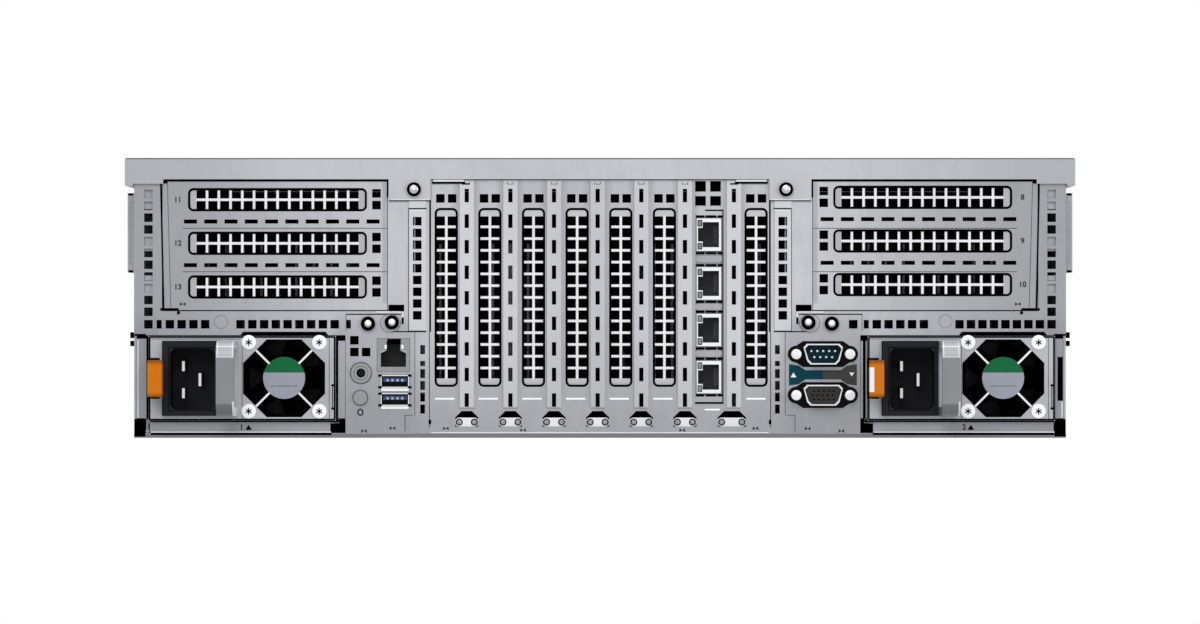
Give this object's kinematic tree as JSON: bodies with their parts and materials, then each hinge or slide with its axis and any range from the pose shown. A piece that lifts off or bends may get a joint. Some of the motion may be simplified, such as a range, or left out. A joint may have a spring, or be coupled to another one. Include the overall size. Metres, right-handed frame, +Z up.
{
  "type": "rack server",
  "caption": "Three-unit rack server with a perforated rear wall, lift-off cover, sliding power supplies with loop handles, fans, card slots and front drives.",
  "frame": {"origin": "middle of the whole outline, at the level of its floor", "axes": "+X to the right seen from the rear, +Y towards the front with the drives, +Z up"},
  "size_m": [0.482, 0.82, 0.1303],
  "materials": {
    "cover_paint": "satin grey paint",
    "zinc_sheet": "zinc-plated sheet steel",
    "black_plastic": "matte moulded black",
    "orange_plastic": "satin orange",
    "grey_plastic": "satin mid grey",
    "nickel": "nickel-plated shell",
    "blue_plastic": "nickel shell with a blue tongue",
    "teal_plastic": "nickel shell with a teal insert",
    "board_green": "solder-masked board",
    "socket_black": "glass-filled plastic",
    "aluminium": "extruded fins",
    "fan_black": "glass-filled plastic",
    "brass_steel": "plated screws"
  },
  "bodies": {
    "root": {"chassis_tray": "zinc_sheet", "rear_panel": "zinc_sheet", "slot_bracket": "zinc_sheet", "riser_cage_left": "zinc_sheet", "riser_cage_right": "zinc_sheet", "riser_boards": "board_green", "slot_covers": "zinc_sheet", "network_card": "zinc_sheet", "network_jacks": "nickel", "management_jack": "nickel", "usb_ports": "blue_plastic", "serial_port": "teal_plastic", "vga_port": "socket_black", "id_jack": "nickel", "rear_screws": "brass_steel", "side_rails": "zinc_sheet", "psu_bays": "zinc_sheet", "power_sockets": "socket_black", "system_board": "board_green", "card_sockets": "socket_black", "heat_sinks": "aluminium", "memory_modules": "board_green", "air_shroud": "black_plastic", "fan_cage": "zinc_sheet", "fan_frames": "fan_black", "drive_cage": "zinc_sheet", "backplane": "board_green", "front_grille": "black_plastic", "drive_blanks": "black_plastic", "ear_left": "zinc_sheet", "ear_right": "zinc_sheet"},
    "top_cover": {"top_cover": "cover_paint", "cover_screws": "brass_steel"},
    "cover_latch": {"cover_latch": "black_plastic"},
    "psu_left": {"psu_left_case": "zinc_sheet", "psu_left_inlet": "black_plastic", "psu_left_handle": "grey_plastic", "psu_left_fan_frame": "fan_black"},
    "psu_left_latch": {"psu_left_latch": "orange_plastic"},
    "psu_left_fan": {"psu_left_fan": "fan_black"},
    "psu_right": {"psu_right_case": "zinc_sheet", "psu_right_inlet": "black_plastic", "psu_right_handle": "grey_plastic", "psu_right_fan_frame": "fan_black"},
    "psu_right_latch": {"psu_right_latch": "orange_plastic"},
    "psu_right_fan": {"psu_right_fan": "fan_black"},
    "fan_1": {"fan_1": "fan_black"},
    "fan_2": {"fan_2": "fan_black"},
    "fan_3": {"fan_3": "fan_black"},
    "rear_id_button": {"rear_id_button": "grey_plastic"},
    "power_button": {"power_button": "grey_plastic"},
    "drive_1": {"drive_1": "grey_plastic"},
    "drive_1_lever": {"drive_1_lever": "black_plastic"},
    "drive_1_button": {"drive_1_button": "orange_plastic"},
    "drive_2": {"drive_2": "grey_plastic"},
    "drive_2_lever": {"drive_2_lever": "black_plastic"},
    "drive_2_button": {"drive_2_button": "orange_plastic"},
    "drive_3": {"drive_3": "grey_plastic"},
    "drive_3_lever": {"drive_3_lever": "black_plastic"},
    "drive_3_button": {"drive_3_button": "orange_plastic"}
  },
  "joints": [
    {"name": "cover_lift", "type": "slide", "parent": "root", "child": "top_cover", "axis": [0, 0, 1], "range_m": [0, 0.06]},
    {"name": "cover_latch_turn", "type": "hinge", "parent": "top_cover", "child": "cover_latch", "pos_m": [0, 0.07, 0.1257], "axis": [-1, 0, 0], "range_deg": [0, 85]},
    {"name": "psu_left_slide", "type": "slide", "parent": "root", "child": "psu_left", "axis": [0, -1, 0], "range_m": [0, 0.2]},
    {"name": "psu_left_latch_turn", "type": "hinge", "parent": "psu_left", "child": "psu_left_latch", "pos_m": [-0.2078, -0.365, 0.02775], "axis": [0, 0, 1], "range_deg": [0, 6], "stiffness_Nm_per_rad": 0.05},
    {"name": "psu_left_fan_turn", "type": "hinge", "parent": "psu_left", "child": "psu_left_fan", "pos_m": [-0.147, -0.365, 0.02775], "axis": [0, 1, 0], "continuous": true},
    {"name": "psu_right_slide", "type": "slide", "parent": "root", "child": "psu_right", "axis": [0, -1, 0], "range_m": [0, 0.2]},
    {"name": "psu_right_latch_turn", "type": "hinge", "parent": "psu_right", "child": "psu_right_latch", "pos_m": [0.1268, -0.365, 0.02775], "axis": [0, 0, 1], "range_deg": [0, 6], "stiffness_Nm_per_rad": 0.05},
    {"name": "psu_right_fan_turn", "type": "hinge", "parent": "psu_right", "child": "psu_right_fan", "pos_m": [0.1876, -0.365, 0.02775], "axis": [0, 1, 0], "continuous": true},
    {"name": "fan_1_turn", "type": "hinge", "parent": "root", "child": "fan_1", "pos_m": [-0.14, 0.124, 0.0624], "axis": [0, 1, 0], "continuous": true},
    {"name": "fan_2_turn", "type": "hinge", "parent": "root", "child": "fan_2", "pos_m": [0, 0.124, 0.0624], "axis": [0, 1, 0], "continuous": true},
    {"name": "fan_3_turn", "type": "hinge", "parent": "root", "child": "fan_3", "pos_m": [0.14, 0.124, 0.0624], "axis": [0, 1, 0], "continuous": true},
    {"name": "rear_id_button_press", "type": "slide", "parent": "root", "child": "rear_id_button", "axis": [0, 1, 0], "range_m": [0, 0.0012], "stiffness_N_per_m": 600},
    {"name": "power_button_press", "type": "slide", "parent": "root", "child": "power_button", "axis": [0, -1, 0], "range_m": [0, 0.001], "stiffness_N_per_m": 600},
    {"name": "drive_1_slide", "type": "slide", "parent": "root", "child": "drive_1", "axis": [0, 1, 0], "range_m": [0, 0.13]},
    {"name": "drive_1_lever_turn", "type": "hinge", "parent": "drive_1", "child": "drive_1_lever", "pos_m": [-0.063, 0.4045, 0.0198], "axis": [-1, 0, 0], "range_deg": [0, 70]},
    {"name": "drive_1_button_press", "type": "slide", "parent": "drive_1", "child": "drive_1_button", "axis": [0, -1, 0], "range_m": [0, 0.0015], "stiffness_N_per_m": 500},
    {"name": "drive_2_slide", "type": "slide", "parent": "root", "child": "drive_2", "axis": [0, 1, 0], "range_m": [0, 0.13]},
    {"name": "drive_2_lever_turn", "type": "hinge", "parent": "drive_2", "child": "drive_2_lever", "pos_m": [-0.045, 0.4045, 0.0198], "axis": [-1, 0, 0], "range_deg": [0, 70]},
    {"name": "drive_2_button_press", "type": "slide", "parent": "drive_2", "child": "drive_2_button", "axis": [0, -1, 0], "range_m": [0, 0.0015], "stiffness_N_per_m": 500},
    {"name": "drive_3_slide", "type": "slide", "parent": "root", "child": "drive_3", "axis": [0, 1, 0], "range_m": [0, 0.13]},
    {"name": "drive_3_lever_turn", "type": "hinge", "parent": "drive_3", "child": "drive_3_lever", "pos_m": [-0.027, 0.4045, 0.0198], "axis": [-1, 0, 0], "range_deg": [0, 70]},
    {"name": "drive_3_button_press", "type": "slide", "parent": "drive_3", "child": "drive_3_button", "axis": [0, -1, 0], "range_m": [0, 0.0015], "stiffness_N_per_m": 500}
  ]
}
